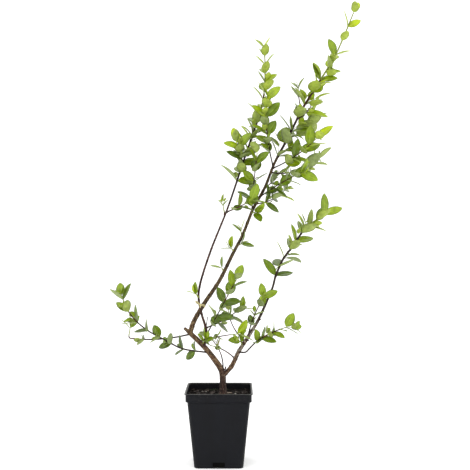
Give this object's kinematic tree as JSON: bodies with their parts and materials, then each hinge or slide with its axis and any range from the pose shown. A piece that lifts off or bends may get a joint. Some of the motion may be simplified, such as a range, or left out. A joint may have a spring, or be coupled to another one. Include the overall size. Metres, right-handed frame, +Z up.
{
  "type": "potted myrtle shrub",
  "caption": "Young, sparse common myrtle with a leaning open crown of small glossy oval leaves, growing in a black square nursery pot.",
  "frame": {"origin": "centre of the pot's flat underside", "axes": "+Z up; +Y points to the back, away from the viewer; +X to the right, the way the crown leans"},
  "size_m": [0.3254, 0.1408, 0.6144],
  "materials": {
    "pot": "moulded black polypropylene with a dull sheen",
    "compost": "damp dark compost with bark chips and grit",
    "bark": "thin brown bark, warm on the trunk and purplish on the upper stems",
    "foliage": "smooth satin leaves, yellow-green when young and mid green when old"
  },
  "bodies": {
    "root": {"pot": "pot", "compost": "compost", "trunk": "bark", "low_bough": "bark", "right_bough": "bark", "tall_bough": "bark", "slender_stem": "bark", "right_crown_shoot": "foliage", "crown_shoot": "foliage", "left_crown_shoot": "foliage", "low_arm_shoot": "foliage", "high_arm_shoot": "foliage", "low_right_shoot": "foliage", "second_leader": "foliage", "crown_mid": "foliage", "crown_low": "foliage", "crown_lowest": "foliage", "bough_spray": "foliage", "inner_upright": "foliage", "bough_spur": "foliage", "slender_right": "foliage", "slender_left": "foliage", "rise_twig": "foliage", "level_twig": "foliage", "wavy_twig": "foliage", "fork_twig": "foliage", "cross_twig": "foliage", "back_twig": "foliage", "inner_twig": "foliage", "spur_low": "foliage", "spur_right": "foliage", "spur_slender": "foliage", "spur_1": "foliage", "spur_2": "foliage", "spur_3": "foliage", "spur_4": "foliage", "spur_5": "foliage"}
  },
  "joints": []
}
